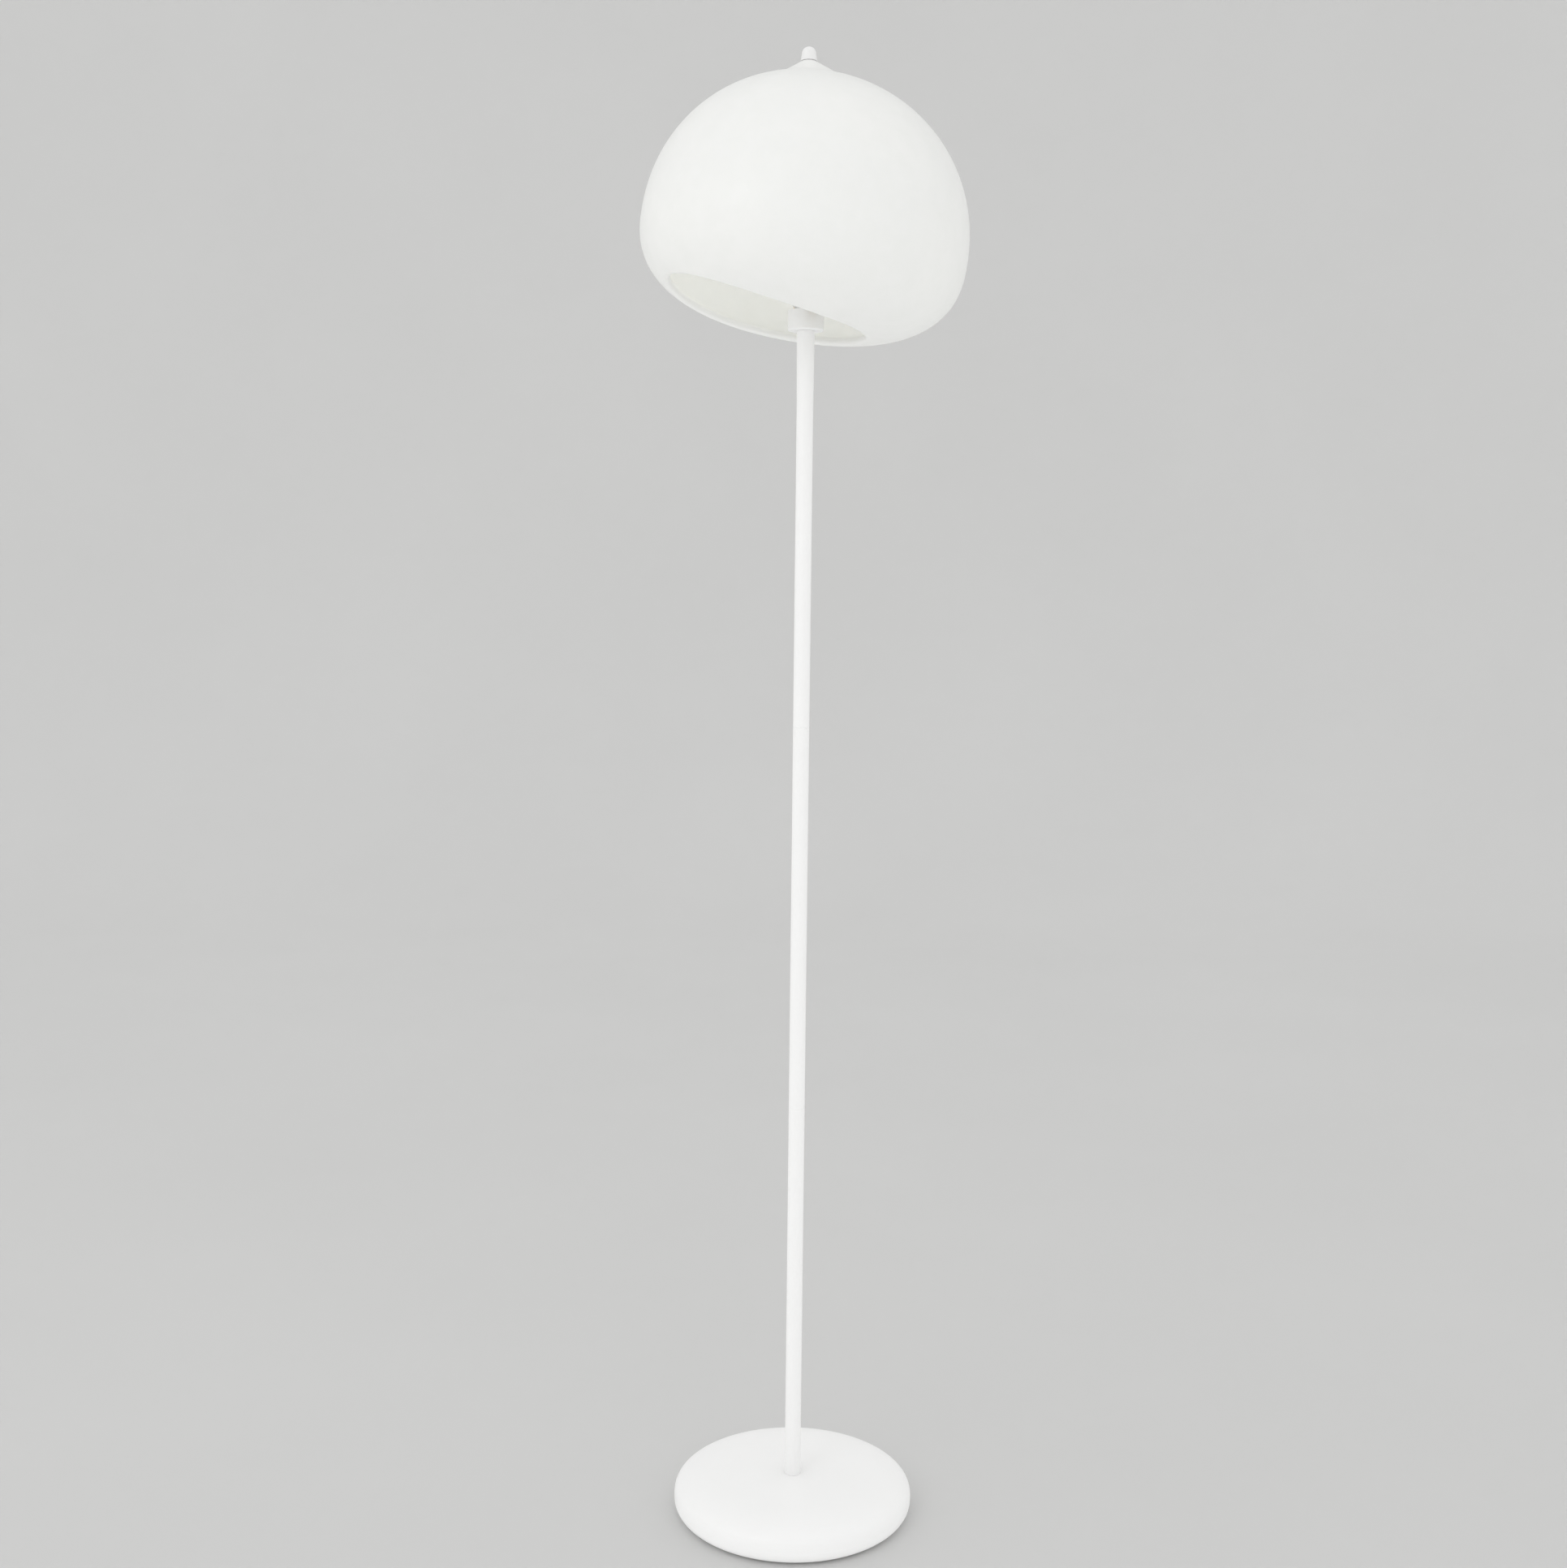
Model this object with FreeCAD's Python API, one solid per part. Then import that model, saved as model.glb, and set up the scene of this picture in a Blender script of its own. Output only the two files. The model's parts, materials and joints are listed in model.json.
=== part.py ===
import FreeCAD, Part
import math
import os

# A mushroom floor lamp. Sizes are in millimetres. The origin is on the floor, on the pole's axis, and Z
# is up. The mouth of the shade looks towards -X.

# ---- base ----
felt_thickness = 1.6
felt_inset = 3.0                # felt edge inside the bottom plate's edge
base_radius = 125.0
shell_height = 36.2             # lower edge of the shell to its flat top
shell_wall = 1.5
belt_height = 13.4              # widest ring, above the shell's lower edge
top_flat_radius = 56.0
top_corner_power = 3.4          # 2 is round, more is squarer
under_inset = 14.0              # how far the shell curls in under its belt
under_corner_power = 2.2
plate_thickness = 2.0
plate_clearance = 0.4
weight_clearance = 3.0          # weight edge inside the mouth of the shell
weight_top_relief = 5.0
weight_boss_radius = 44.0
weight_edge_chamfer = 3.0
weight_web = 7.0                # iron left above the nut recess
nut_recess_radius = 42.0
plate_screw_count = 4
plate_screw_circle = 92.0
plate_screw_shank = 2.0
plate_screw_head = 3.8
plate_screw_length = 14.0
plate_screw_hole_spare = 1.0
bushing_rise = 2.5              # cord bushing above the belt
bushing_grip = 1.6              # inner flange behind the shell's wall
bushing_catch = 1.0             # inner flange past the barrel
bushing_bore = 3.6
bushing_barrel = 5.0
bushing_flange = 7.0
bushing_flange_thickness = 1.8
cord_slot_width = 14.0

# ---- clamp under the pole ----
thread_radius = 5.0             # hollow M10 x 1 rod
lead_way = 3.6                  # bore of the rod and of the joiners
stud_grip = 18.0                # rod inside the pole
stud_spare = 1.2                # rod past the nut
washer_radius = 15.0
washer_thickness = 2.0
tag_thickness = 0.8
tag_radius = 8.0
tag_tab_width = 5.0
tag_tab_reach = 18.0
tag_barrel_radius = 2.0
tag_barrel_length = 6.0
tag_barrel_overlap = 1.0        # barrel on the tab
toothed_washer_radius = 8.5
toothed_washer_thickness = 1.0
toothed_washer_teeth = 12
nut_flats = 14.0
nut_thickness = 5.0

# ---- wiring inside the base ----
pole_pitch_of_block = 12.0
block_poles = 3
block_depth = 20.0
block_height = 13.0
block_front = 47.0              # pole axis to the block's front face
block_end = 3.0                 # block past its outer wire holes' cells
block_groove_width = 1.6
block_groove_depth = 3.0
pocket_clearance = 3.0
wire_hole_radius = 1.6
wire_screw_radius = 2.0
wire_screw_length = 5.0
screw_slot_width = 0.8
screw_slot_depth = 1.0
lead_radius = 2.2
lead_height = 8.4               # lead's centre line above the floor, inside the base
earth_wire_radius = 1.1
earth_wire_lead_in = 3.5        # level stretch out of the tag
earth_wire_bend_share = 0.45
earth_wire_lead_out = 5.0       # lower bend, inside the recess

# ---- pole ----
pole_radius = 8.3
pole_wall = 1.2
pole_section_length = 396.0
pole_sections = 3
pole_flare_radius = 9.0
pole_flare_length = 75.0
tube_end_chamfer = 0.25
joiner_length = 60.0
bush_length = 22.0

# ---- hub and harp ----
hub_radius = 18.0
hub_height = 20.0
hub_edge = 1.4
saddle_thickness = 1.6
saddle_width = 12.0
harp_foot = 29.5                # harp leg from the pole's axis
harp_wire_radius = 1.6
harp_peg_height = 11.0
harp_leg_length = 26.0          # straight leg above the peg
harp_bow = 56.0
harp_bow_low = 75.0
harp_bow_high = 58.0            # below the eye
harp_shoulder = 22.0
harp_bend_share = 0.32          # of each run, taken by its bends
harp_height = 216.0             # hub's top to the eye boss's top
eye_radius = 6.0
eye_half_height = 3.4
ferrule_radius = 3.3
ferrule_length = 16.0
ferrule_rest_gap = 0.3
harp_stud_radius = 3.1

# ---- lampholder ----
cap_foot_radius = 11.0
cap_radius = 19.0
cap_height = 18.0
cap_cone_height = 11.0
cap_wall = 1.0
lock_nut_flats = 13.0
lock_nut_thickness = 3.0
lock_nut_spare = 1.4
holder_overlap = 4.0            # shell inside the cap
holder_height = 44.0
holder_wall = 0.8
liner_short = 4.0               # liner below the shell's rim
socket_depth = 24.0
socket_radius = 13.9
socket_sleeve_outer = 13.8
socket_sleeve_inner = 13.2
socket_sleeve_length = 21.0
contact_radius = 4.0
contact_height = 1.6

# ---- switch ----
spindle_radius = 2.0
spindle_rise = 8.0              # above the liner's foot
spindle_inner_end = 3.0
knob_start = 22.0
knob_length = 15.0
knob_collar = 3.8               # plain stretch before the flutes
knob_radius = 6.6
knob_flutes = 12
knob_flute_radius = 1.1
knob_grip = 9.0                 # spindle inside the knob

# ---- bulb ----
bulb_cap_radius = 13.1
bulb_cap_length = 22.0
bulb_insulator_height = 3.0
bulb_insulator_inset = 2.0      # cone's wide end inside the cap's wall
bulb_cap_bevel = 1.0
bulb_contact_radius = 4.4
bulb_contact_height = 2.0
bulb_shoulder_radius = 13.6
bulb_housing_length = 38.0
bulb_housing_power = 1.5        # 2 is round, less is flatter
bulb_globe_radius = 30.0
bulb_length = 108.0
bulb_wall = 1.2

# ---- shade ----
shade_radius = 163.2
shade_crown = 157.8             # widest ring to the top, along the shade's own axis
shade_depth = 85.8              # widest ring to the underside
shade_crown_power = 2.06
shade_under_power = 2.47
shade_flat_radius = 31.0        # level middle of the underside
shade_tilt = 9.4                # the shade leans away from its mouth
shade_offset = -2.7
shade_wall = 8.0
mouth_high_inset = 12.2         # widest ring to the mouth's high end, across the underside
mouth_low_reach = 68.0          # shade's axis to the mouth's low end
mouth_tilt = 45.6               # of the cut, beyond the shade's own tilt
mouth_past_wall = 60.0          # cut goes on into the hollow
lip_round = 3.6
neck_thickness = 21.5           # ceiling inside to the top of the neck
neck_rise = 14.2                # top of the crown to the top of the neck
neck_radius = 8.6
neck_slope = 31.5
neck_spread = 60.0
neck_blend = 105.0
neck_seat_radius = 13.0
shade_washer_radius = 7.6
shade_washer_thickness = 0.8
rest_washer_radius = 11.0
rest_washer_thickness = 1.2
neck_bush_radius = 5.0

# ---- finial ----
finial_foot_radius = 8.2
finial_shoulder_radius = 7.1
finial_shoulder_height = 7.4
finial_height = 13.9
finial_bore_depth = 9.5

# ---- fits ----
fit = 0.05                      # round pieces in their seats
turning_fit = 0.08              # pieces that turn or slide on each other
rest_gap = 0.3                  # flat faces of pieces that move on each other
clear_hole = 0.3

ORIGIN = FreeCAD.Vector(0, 0, 0)
Y_AXIS = FreeCAD.Vector(0, 1, 0)
Z_AXIS = FreeCAD.Vector(0, 0, 1)


# ---- levels, from the floor up ----
shell_low = felt_thickness
belt_level = shell_low + belt_height
base_top = shell_low + shell_height
mouth_of_shell = base_radius - under_inset
plate_top = felt_thickness + plate_thickness
boss_level = base_top - shell_wall
recess_level = boss_level - weight_web
tag_level = recess_level - washer_thickness
toothed_level = tag_level - tag_thickness
nut_level = toothed_level - toothed_washer_thickness
stud_low = nut_level - nut_thickness - stud_spare
pole_bore = pole_radius - pole_wall
pole_top = base_top + pole_sections * pole_section_length
hub_top = pole_top + hub_height
saddle_top = hub_top + saddle_thickness
cap_top = saddle_top + cap_height
lock_nut_level = saddle_top + cap_wall
nipple_top = lock_nut_level + lock_nut_thickness + lock_nut_spare
holder_low = cap_top - holder_overlap
holder_top = holder_low + holder_height
holder_radius = cap_radius - cap_wall - fit
liner_top = holder_top - liner_short
socket_floor = liner_top - socket_depth
contact_top = socket_floor + contact_height
spindle_level = holder_low + spindle_rise
bulb_low = contact_top + rest_gap
bulb_cap_low = bulb_low + bulb_contact_height
bulb_shoulder = bulb_cap_low + bulb_cap_length
bulb_joint = bulb_shoulder + bulb_housing_length
harp_peg_top = saddle_top + harp_peg_height
eye_level = hub_top + harp_height - eye_half_height
eye_top = eye_level + eye_half_height
neck_seat = eye_top + rest_washer_thickness + rest_gap
neck_top = neck_seat + neck_thickness
shade_centre_level = neck_top - neck_rise - shade_crown
mouth_length = shade_radius - mouth_high_inset + mouth_low_reach
mouth_middle = mouth_low_reach - mouth_length / 2
mouth_radius = mouth_length / 2 * math.cos(math.radians(mouth_tilt))
finial_low = neck_top + shade_washer_thickness + rest_gap
lamp_height = finial_low + finial_height


def disc(radius, low, high):
    return Part.makeCylinder(radius, high - low, FreeCAD.Vector(0, 0, low))


def sleeve(outer, bore, low, high):
    return disc(outer, low, high).cut(disc(bore, low, high))


def block(x_size, y_size, z_low, z_high, x=0.0, y=0.0):
    """Upright box centred on x, y."""
    corner = FreeCAD.Vector(x - x_size / 2, y - y_size / 2, z_low)
    return Part.makeBox(x_size, y_size, z_high - z_low, corner)


def rod(radius, start, end):
    """Round bar between two points."""
    path = end - start
    return Part.makeCylinder(radius, path.Length, start, path)


def around(count, shape, radius=0.0, start=0.0):
    """Copies of a shape set out on a circle about the pole's axis."""
    copies = []
    for index in range(count):
        turned_copy = shape.copy()
        turned_copy.translate(FreeCAD.Vector(radius, 0, 0))
        turned_copy.rotate(ORIGIN, Z_AXIS, start + 360.0 * index / count)
        copies.append(turned_copy)
    return copies


def hexagon(across_flats, low, high):
    corner_radius = across_flats / math.sqrt(3)
    corners = []
    for index in range(7):
        angle = math.radians(60 * index)
        corners.append(FreeCAD.Vector(corner_radius * math.cos(angle), corner_radius * math.sin(angle), low))
    return Part.Face(Part.makePolygon(corners)).extrude(FreeCAD.Vector(0, 0, high - low))


def corner(end_radius, side_radius, side_level, end_level, power=2, steps=12):
    """Quarter of a superellipse from a level end to an upright side, as (radius, level) points."""
    points = []
    for index in range(steps + 1):
        turn = math.pi / 2 * index / steps
        out = math.sin(turn) ** (2 / power) if index else 0.0
        up = math.cos(turn) ** (2 / power) if index < steps else 0.0
        radius = end_radius + (side_radius - end_radius) * out
        points.append((radius, side_level + (end_level - side_level) * up))
    return points


def turned(*runs):
    """Body turned about Z. A run of two points is straight, a longer one is a smooth curve."""
    edges = []
    for run in runs:
        points = [FreeCAD.Vector(radius, 0, level) for radius, level in run]
        if len(points) == 2:
            edges.append(Part.LineSegment(points[0], points[1]).toShape())
        else:
            curve = Part.BSplineCurve()
            curve.interpolate(points)
            edges.append(curve.toShape())
    return Part.Face(Part.Wire(edges)).revolve(ORIGIN, Z_AXIS, 360)


def straight_runs(*points):
    """Pairs of neighbours in a list of (radius, level) points."""
    return [[first, second] for first, second in zip(points, points[1:])]


def turned_polygon(*points):
    return turned(*straight_runs(*points, points[0]))


def rounded_path(points, share):
    """Straight runs joined by tangent arcs. Each arc takes a share of its shorter run."""
    edges = []
    start = points[0]
    for before, bend, after in zip(points, points[1:], points[2:]):
        run_in = bend - before
        run_out = after - bend
        reach = share * min(run_in.Length, run_out.Length)
        half_turn = run_in.getAngle(run_out) / 2
        run_in.normalize()
        run_out.normalize()
        entry = bend - run_in * reach
        leave = bend + run_out * reach
        inward = (run_out - run_in).normalize()
        radius = reach / math.tan(half_turn)
        middle = bend + inward * (radius / math.cos(half_turn) - radius)
        edges.append(Part.LineSegment(start, entry).toShape())
        edges.append(Part.Arc(entry, middle, leave).toShape())
        start = leave
    edges.append(Part.LineSegment(start, points[-1]).toShape())
    return Part.Wire(edges)


def round_bar(path, radius):
    """Round bar swept along a wire."""
    start = path.Edges[0].firstVertex().Point
    direction = path.Edges[0].tangentAt(path.Edges[0].FirstParameter)
    section = Part.Wire(Part.makeCircle(radius, start, direction))
    return path.makePipeShell([section], True, False)


# ---- base ----
def base_shell():
    """Spun cover with a flat top, large rounded edges and a curled-in lower edge."""
    outer_side = base_radius
    inner_side = base_radius - shell_wall
    hole = thread_radius + clear_hole
    outer_top = corner(top_flat_radius, outer_side, belt_level, base_top, top_corner_power)
    inner_top = corner(top_flat_radius, inner_side, belt_level, boss_level, top_corner_power)
    outer_under = corner(mouth_of_shell, outer_side, belt_level, shell_low, under_corner_power)
    inner_under = corner(mouth_of_shell, inner_side, belt_level, shell_low + shell_wall, under_corner_power)
    shell = turned(
        [(hole, base_top), outer_top[0]],
        outer_top,
        outer_under[::-1],
        [outer_under[0], inner_under[0]],
        inner_under,
        inner_top[::-1],
        [inner_top[0], (hole, boss_level)],
        [(hole, boss_level), (hole, base_top)],
    )
    return shell.cut(bushing_axis_bar(bushing_barrel + fit, mouth_of_shell, 2 * base_radius))


def bushing_level():
    return belt_level + bushing_rise


def bushing_axis_bar(radius, near, far):
    level = bushing_level()
    return rod(radius, FreeCAD.Vector(0, near, level), FreeCAD.Vector(0, far, level))


def cord_bushing():
    """Grommet that lines the cord's hole at the back of the base."""
    outside = base_radius + fit
    inside = base_radius - shell_wall - bushing_grip
    inner_end = inside - bushing_flange_thickness
    barrel = bushing_axis_bar(bushing_barrel, inner_end, outside)
    outer_flange = bushing_axis_bar(bushing_flange, outside, outside + bushing_flange_thickness)
    inner_flange = bushing_axis_bar(bushing_barrel + bushing_catch, inner_end, inside)
    way = bushing_axis_bar(bushing_bore, mouth_of_shell, 2 * base_radius)
    return barrel.fuse(outer_flange).fuse(inner_flange).cut(way).removeSplitter()


def floor_felt():
    return disc(mouth_of_shell - plate_clearance - felt_inset, 0, felt_thickness)


def screw_cone(clearance):
    """Countersunk head, in the plate, at the pole's axis."""
    return Part.makeCone(plate_screw_head + clearance, plate_screw_shank + clearance, plate_thickness,
                         FreeCAD.Vector(0, 0, felt_thickness))


def base_plate():
    plate = disc(mouth_of_shell - plate_clearance, felt_thickness, plate_top)
    return plate.cut(Part.makeCompound(around(plate_screw_count, screw_cone(fit), plate_screw_circle, 45)))


def plate_screws():
    shank = disc(plate_screw_shank, plate_top, felt_thickness + plate_screw_length)
    screw = screw_cone(0).fuse(shank).removeSplitter()
    return Part.makeCompound(around(plate_screw_count, screw, plate_screw_circle, 45))


def block_length():
    return block_poles * pole_pitch_of_block + 2 * block_end


def pocket_level():
    return plate_top + rest_gap + block_height


def base_weight():
    """Cast disc with a recess for the clamp, a pocket for the terminals and a slot for the cord."""
    edge = mouth_of_shell - weight_clearance
    top = boss_level - weight_top_relief
    bore = thread_radius + clear_hole
    weight = turned_polygon(
        (bore, recess_level),
        (nut_recess_radius, recess_level),
        (nut_recess_radius, plate_top),
        (edge, plate_top),
        (edge, top - weight_edge_chamfer),
        (edge - weight_edge_chamfer, top),
        (weight_boss_radius + weight_top_relief, top),
        (weight_boss_radius, boss_level),
        (bore, boss_level),
    )
    pocket_back = block_front + block_depth + pocket_clearance
    pocket = block(block_length() + 2 * pocket_clearance, pocket_back, plate_top, pocket_level(),
                   y=pocket_back / 2)
    slot_top = bushing_level() + bushing_barrel
    slot = block(cord_slot_width, edge, plate_top, slot_top, y=edge / 2 + pocket_back)
    hole_top = felt_thickness + plate_screw_length + plate_screw_hole_spare
    screw_hole = disc(plate_screw_shank + fit, plate_top, hole_top)
    holes = around(plate_screw_count, screw_hole, plate_screw_circle, 45)
    return weight.cut(pocket).cut(slot).cut(Part.makeCompound(holes))


# ---- clamp under the pole ----
def foot_stud():
    return sleeve(thread_radius, lead_way, stud_low, base_top + stud_grip)


def foot_washer():
    return sleeve(washer_radius, thread_radius + fit, tag_level, recess_level)


def toothed_washer():
    ring = sleeve(toothed_washer_radius, thread_radius + fit, nut_level, toothed_level)
    notch = disc(toothed_washer_radius / toothed_washer_teeth, nut_level, toothed_level)
    return ring.cut(Part.makeCompound(around(toothed_washer_teeth, notch, toothed_washer_radius)))


def foot_nut():
    nut = hexagon(nut_flats, nut_level - nut_thickness, nut_level)
    return nut.cut(disc(thread_radius + fit, nut_level - nut_thickness, nut_level))


def earth_direction():
    """From the pole's axis to the block's outer wire hole."""
    return FreeCAD.Vector(pole_pitch_of_block, block_front, 0).normalize()


def barrel_level():
    return toothed_level + tag_thickness / 2


def earth_tag():
    """Ring tag with a tab and a crimp barrel that points at the terminal block."""
    ring = disc(tag_radius, toothed_level, tag_level)
    tab = block(tag_tab_width, tag_tab_reach, toothed_level, tag_level, y=tag_tab_reach / 2)
    barrel = rod(tag_barrel_radius, FreeCAD.Vector(0, tag_tab_reach - tag_barrel_overlap, barrel_level()),
                 FreeCAD.Vector(0, tag_tab_reach + tag_barrel_length, barrel_level()))
    tag = ring.fuse(tab).fuse(barrel).cut(disc(thread_radius + fit, toothed_level, tag_level))
    tag = tag.removeSplitter()
    tag.rotate(ORIGIN, Z_AXIS, math.degrees(math.atan2(earth_direction().y, earth_direction().x)) - 90)
    return tag


# ---- wiring inside the base ----
def block_cells():
    """Middle of each pole of the terminal block along X."""
    return [(index - (block_poles - 1) / 2) * pole_pitch_of_block for index in range(block_poles)]


def terminal_block():
    low = pocket_level() - block_height
    middle = block_front + block_depth / 2
    body = block(block_length(), block_depth, low, pocket_level(), y=middle)
    for x in block_cells():
        hole_start = FreeCAD.Vector(x, block_front, lead_height)
        body = body.cut(rod(wire_hole_radius, hole_start, hole_start + Y_AXIS * block_depth))
        well = disc(wire_screw_radius + clear_hole, low, lead_height + wire_hole_radius)
        well.translate(FreeCAD.Vector(x, middle, 0))
        body = body.cut(well)
    for x in block_cells()[1:]:
        groove = block(block_groove_width, block_depth, low, low + block_groove_depth,
                       x=x - pole_pitch_of_block / 2, y=middle)
        body = body.cut(groove)
    return body


def terminal_screws():
    """One clamping screw to a pole, slotted, seen from below."""
    low = lead_height - wire_screw_length + wire_hole_radius
    screw = disc(wire_screw_radius, low, lead_height + wire_hole_radius)
    slot = block(2 * wire_screw_radius + clear_hole, screw_slot_width, low, low + screw_slot_depth)
    screws = []
    for x in block_cells():
        placed = screw.cut(slot)
        placed.translate(FreeCAD.Vector(x, block_front + block_depth / 2, 0))
        screws.append(placed)
    return Part.makeCompound(screws)


def inner_lead():
    """Lead from the terminal block, round one bend and up the pole to the lampholder."""
    bend = stud_low - lead_height
    front = FreeCAD.Vector(0, block_front, lead_height)
    bend_start = FreeCAD.Vector(0, bend, lead_height)
    bend_middle = FreeCAD.Vector(0, bend * (1 - math.sqrt(0.5)), lead_height + bend * (1 - math.sqrt(0.5)))
    bend_end = FreeCAD.Vector(0, 0, stud_low)
    top = FreeCAD.Vector(0, 0, holder_low)
    path = Part.Wire([
        Part.LineSegment(front, bend_start).toShape(),
        Part.Arc(bend_start, bend_middle, bend_end).toShape(),
        Part.LineSegment(bend_end, top).toShape(),
    ])
    return round_bar(path, lead_radius)


def earth_wire():
    """Wire from the ring tag down to the outer pole of the terminal block."""
    along = earth_direction()
    start = along * (tag_tab_reach + tag_barrel_length)
    end = FreeCAD.Vector(pole_pitch_of_block, block_front, 0)
    drop_start = start + along * earth_wire_lead_in
    drop_end = along * (nut_recess_radius - earth_wire_lead_out)
    path = rounded_path([
        start + Z_AXIS * barrel_level(),
        drop_start + Z_AXIS * barrel_level(),
        drop_end + Z_AXIS * lead_height,
        end + Z_AXIS * lead_height,
    ], earth_wire_bend_share)
    return round_bar(path, earth_wire_radius).cut(terminal_block())


# ---- pole ----
def pole_tube(low, high, top_radius):
    """Tube with finely chamfered ends. Its top may flare."""
    flare_start = high - pole_flare_length
    return turned_polygon(
        (pole_bore, low),
        (pole_radius - tube_end_chamfer, low),
        (pole_radius, low + tube_end_chamfer),
        (pole_radius, flare_start),
        (top_radius, high - tube_end_chamfer),
        (top_radius - tube_end_chamfer, high),
        (pole_bore, high),
    )


def section_level(index):
    return base_top + index * pole_section_length


def pole_joiner(level):
    return sleeve(pole_bore - fit, lead_way, level - joiner_length / 2, level + joiner_length / 2)


def foot_bush():
    return sleeve(pole_bore - fit, thread_radius + fit, base_top, base_top + bush_length)


def top_bush():
    return sleeve(pole_bore - fit, thread_radius + fit, pole_top - bush_length, pole_top)


def top_nipple():
    return sleeve(thread_radius, lead_way, pole_top - stud_grip, nipple_top)


# ---- hub and harp ----
def hub_cup():
    """Turned cup that closes the top of the pole and carries the harp."""
    bore = thread_radius + fit
    low_edge = corner(hub_radius - hub_edge, hub_radius, pole_top + hub_edge, pole_top)
    high_edge = corner(hub_radius - hub_edge / 2, hub_radius, hub_top - hub_edge / 2, hub_top)
    return turned(
        [(bore, pole_top), low_edge[0]],
        low_edge,
        [low_edge[-1], high_edge[-1]],
        high_edge[::-1],
        [high_edge[0], (bore, hub_top)],
        [(bore, hub_top), (bore, pole_top)],
    )


def harp_saddle():
    """Flat strip with rounded ends and two upright pegs."""
    strip = block(saddle_width, 2 * harp_foot, hub_top, saddle_top)
    for side in (-1, 1):
        place = FreeCAD.Vector(0, side * harp_foot, 0)
        end = disc(saddle_width / 2, hub_top, saddle_top)
        peg = disc(harp_wire_radius, hub_top, harp_peg_top)
        end.translate(place)
        peg.translate(place)
        strip = strip.fuse(end).fuse(peg)
    return strip.removeSplitter().cut(disc(thread_radius + fit, hub_top, saddle_top))


def harp_wire():
    """Bowed wire from one peg, through the eye boss, to the other peg."""
    leg_top = harp_peg_top + harp_leg_length
    half = [
        (harp_foot, harp_peg_top),
        (harp_foot, leg_top),
        (harp_bow, leg_top + harp_bow_low),
        (harp_bow, eye_level - harp_bow_high),
        (harp_shoulder, eye_level),
    ]
    front = [FreeCAD.Vector(0, -y, z) for y, z in half]
    back = [FreeCAD.Vector(0, y, z) for y, z in reversed(half)]
    return round_bar(rounded_path(front + back, harp_bend_share), harp_wire_radius)


def harp_stud():
    """Eye boss on the harp's top, with the threaded stud that the shade hangs on."""
    boss = disc(eye_radius, eye_level - eye_half_height, eye_top)
    stud = disc(harp_stud_radius, eye_top, finial_low + finial_bore_depth - 2 * rest_gap)
    way = rod(harp_wire_radius + fit, FreeCAD.Vector(0, -2 * eye_radius, eye_level),
              FreeCAD.Vector(0, 2 * eye_radius, eye_level))
    return boss.cut(way).fuse(stud)


def harp_ferrule(side):
    """Sleeve that locks the harp's leg to its peg. It slides up the leg."""
    low = saddle_top + ferrule_rest_gap
    ring = sleeve(ferrule_radius, harp_wire_radius + turning_fit, low, low + ferrule_length)
    ring.translate(FreeCAD.Vector(0, side * harp_foot, 0))
    return ring


def rest_washer():
    return sleeve(rest_washer_radius, harp_stud_radius + fit, eye_top, eye_top + rest_washer_thickness)


# ---- lampholder ----
def holder_cap():
    """Cone-footed cap of the lampholder."""
    bore = thread_radius + fit
    shoulder = saddle_top + cap_cone_height
    return turned_polygon(
        (bore, saddle_top),
        (cap_foot_radius, saddle_top),
        (cap_radius, shoulder),
        (cap_radius, cap_top),
        (cap_radius - cap_wall, cap_top),
        (cap_radius - cap_wall, shoulder),
        (cap_foot_radius - cap_wall, lock_nut_level),
        (bore, lock_nut_level),
    )


def holder_lock_nut():
    nut = hexagon(lock_nut_flats, lock_nut_level, lock_nut_level + lock_nut_thickness)
    return nut.cut(disc(thread_radius + fit, lock_nut_level, lock_nut_level + lock_nut_thickness))


def spindle_bar(radius, near, far):
    """Bar on the switch spindle's axis, towards the mouth of the shade."""
    return rod(radius, FreeCAD.Vector(-near, 0, spindle_level), FreeCAD.Vector(-far, 0, spindle_level))


def holder_shell():
    shell = sleeve(holder_radius, holder_radius - holder_wall, holder_low, holder_top)
    return shell.cut(spindle_bar(spindle_radius + 2 * clear_hole, 0, 2 * holder_radius))


def holder_liner():
    """Insulating body of the lampholder, with the socket well and the spindle's bore."""
    radius = holder_radius - holder_wall - fit
    liner = disc(radius, holder_low, liner_top).cut(disc(socket_radius, socket_floor, liner_top))
    return liner.cut(spindle_bar(spindle_radius + turning_fit, spindle_inner_end - rest_gap, 2 * radius))


def socket_sleeve():
    return sleeve(socket_sleeve_outer, socket_sleeve_inner, socket_floor, socket_floor + socket_sleeve_length)


def holder_contact():
    return disc(contact_radius, socket_floor, contact_top)


# ---- switch ----
def switch_spindle():
    return spindle_bar(spindle_radius, spindle_inner_end, knob_start + knob_grip)


def switch_knob():
    """Fluted knob on the spindle."""
    knob = spindle_bar(knob_radius, knob_start, knob_start + knob_length)
    end = knob_start + knob_length
    for index in range(knob_flutes):
        angle = 2 * math.pi * index / knob_flutes
        shift = FreeCAD.Vector(0, knob_radius * math.cos(angle), knob_radius * math.sin(angle))
        flute = spindle_bar(knob_flute_radius, knob_start + knob_collar, 2 * end)
        flute.translate(shift)
        knob = knob.cut(flute)
    return knob.cut(spindle_bar(spindle_radius, knob_start, knob_start + knob_grip))


# ---- bulb ----
def bulb_contact():
    return disc(bulb_contact_radius, bulb_low, bulb_cap_low)


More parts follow.
